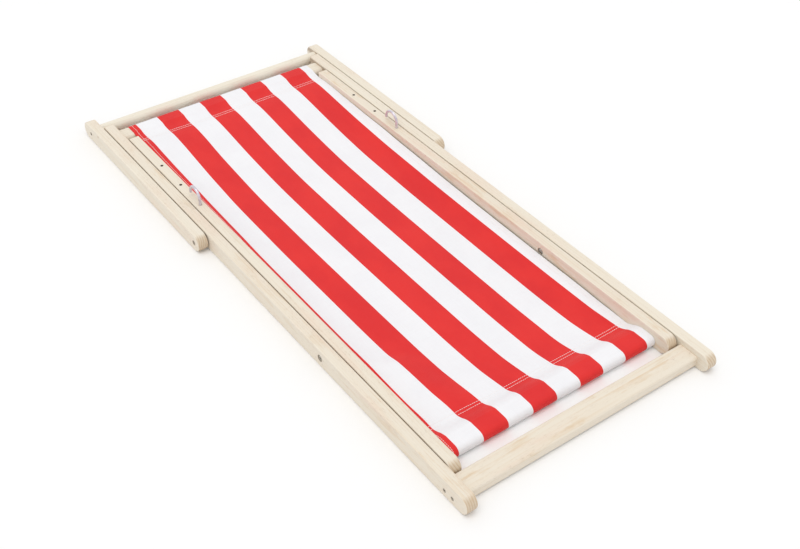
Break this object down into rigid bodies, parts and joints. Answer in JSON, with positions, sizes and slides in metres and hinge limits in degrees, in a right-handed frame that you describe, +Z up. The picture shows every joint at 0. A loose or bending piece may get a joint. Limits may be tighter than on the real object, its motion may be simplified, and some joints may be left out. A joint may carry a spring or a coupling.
{
  "type": "deck chair",
  "caption": "Folding wooden deck chair lying folded flat: seat frame inside back frame, prop frame outside, wire hooks for its recline, striped canvas sling.",
  "frame": {"origin": "on the ground under the middle of the folded chair", "axes": "+X across the chair to the sitter's left as it lies face up, +Y along the chair from the foot end to the head end, +Z up"},
  "size_m": [0.573, 1.255, 0.0667],
  "materials": {
    "varnished_wood": "pale wood, clear satin varnish",
    "striped_canvas": "woven canvas with broad red and off-white stripes along the chair",
    "zinc_hooks": "zinc plated wire",
    "zinc_screws": "dull zinc plated"
  },
  "bodies": {
    "back_frame": {"back_bar_left": "varnished_wood", "back_bar_right": "varnished_wood", "head_board": "varnished_wood", "foot_board": "varnished_wood", "head_board_screws": "zinc_screws", "foot_board_screws": "zinc_screws", "main_pivot_bolt_left": "zinc_screws", "main_pivot_bolt_right": "zinc_screws", "main_pivot_washer_left": "zinc_screws", "main_pivot_washer_right": "zinc_screws", "main_pivot_nut_left": "zinc_screws", "main_pivot_nut_right": "zinc_screws", "prop_pivot_bolt_left": "zinc_screws", "prop_pivot_bolt_right": "zinc_screws", "prop_pivot_washer_left": "zinc_screws", "prop_pivot_washer_right": "zinc_screws", "prop_pivot_nut_left": "zinc_screws", "prop_pivot_nut_right": "zinc_screws", "sling": "striped_canvas"},
    "seat_frame": {"seat_bar_left": "varnished_wood", "seat_bar_right": "varnished_wood", "knee_board": "varnished_wood", "knee_board_screws": "zinc_screws"},
    "prop_frame": {"prop_arm_left": "varnished_wood", "prop_arm_right": "varnished_wood", "prop_crossbar": "varnished_wood", "prop_crossbar_screws": "zinc_screws"},
    "hook_left": {"hook_left": "zinc_hooks"},
    "hook_right": {"hook_right": "zinc_hooks"}
  },
  "joints": [
    {"name": "seat_fold", "type": "hinge", "parent": "back_frame", "child": "seat_frame", "pos_m": [0, -0.2385, 0.0175], "axis": [-1, 0, 0], "range_deg": [0, 63.55]},
    {"name": "prop_fold", "type": "hinge", "parent": "back_frame", "child": "prop_frame", "pos_m": [0, 0.151, 0.0175], "axis": [-1, 0, 0], "range_deg": [0, 109.4]},
    {"name": "hook_left_turn", "type": "hinge", "parent": "seat_frame", "child": "hook_left", "pos_m": [-0.23, 0.2259, 0.021], "axis": [0, 0, -1], "range_deg": [0, 180]},
    {"name": "hook_right_turn", "type": "hinge", "parent": "seat_frame", "child": "hook_right", "pos_m": [0.23, 0.2259, 0.021], "axis": [0, 0, 1], "range_deg": [0, 180]}
  ]
}
